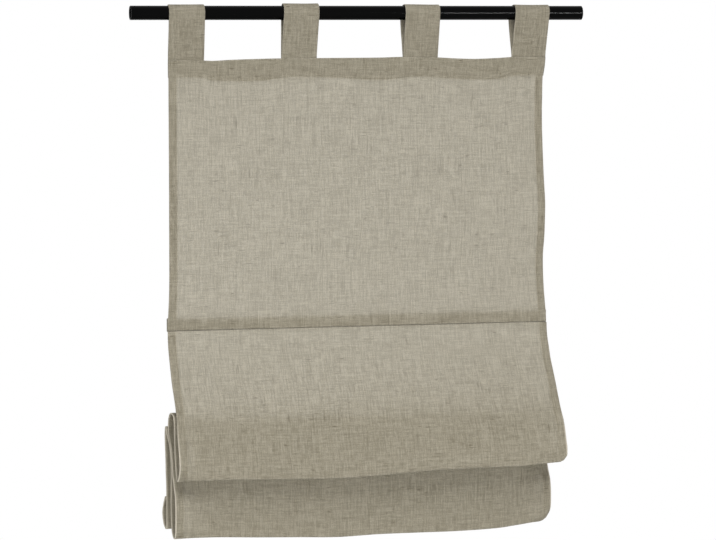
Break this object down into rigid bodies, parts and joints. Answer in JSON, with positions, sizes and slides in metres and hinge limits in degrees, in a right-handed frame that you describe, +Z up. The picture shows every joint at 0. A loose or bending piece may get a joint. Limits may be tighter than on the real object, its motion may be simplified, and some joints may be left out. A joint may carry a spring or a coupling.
{
  "type": "roman blind",
  "caption": "Linen roman blind on tab loops over a black rod, partly raised, with batten tucks, soft hanging folds and a weighted bottom hem.",
  "frame": {"origin": "on the rod's axis, half way along the rod", "axes": "+X along the rod to the right as seen from the room, +Y from the room towards the wall, +Z up"},
  "size_m": [0.716, 0.1378, 0.8132],
  "materials": {
    "linen": "undyed plain weave linen with slubs",
    "rod": "satin black powder coat on a steel tube",
    "batten": "extruded white plastic strip",
    "bar": "mill finish flat bar",
    "ring": "moulded off-white plastic"
  },
  "bodies": {
    "root": {"hanging_rod": "rod", "fabric_panel": "linen", "header_facing": "linen", "tab_loop_1": "linen", "tab_loop_2": "linen", "tab_loop_3": "linen", "tab_loop_4": "linen", "batten_top": "batten", "batten_middle": "batten", "batten_lower": "batten", "weight_bar": "bar", "ring_header_left": "ring", "ring_header_right": "ring", "ring_top_left": "ring", "ring_top_right": "ring", "ring_middle_left": "ring", "ring_middle_right": "ring", "ring_lower_left": "ring", "ring_lower_right": "ring"}
  },
  "joints": []
}
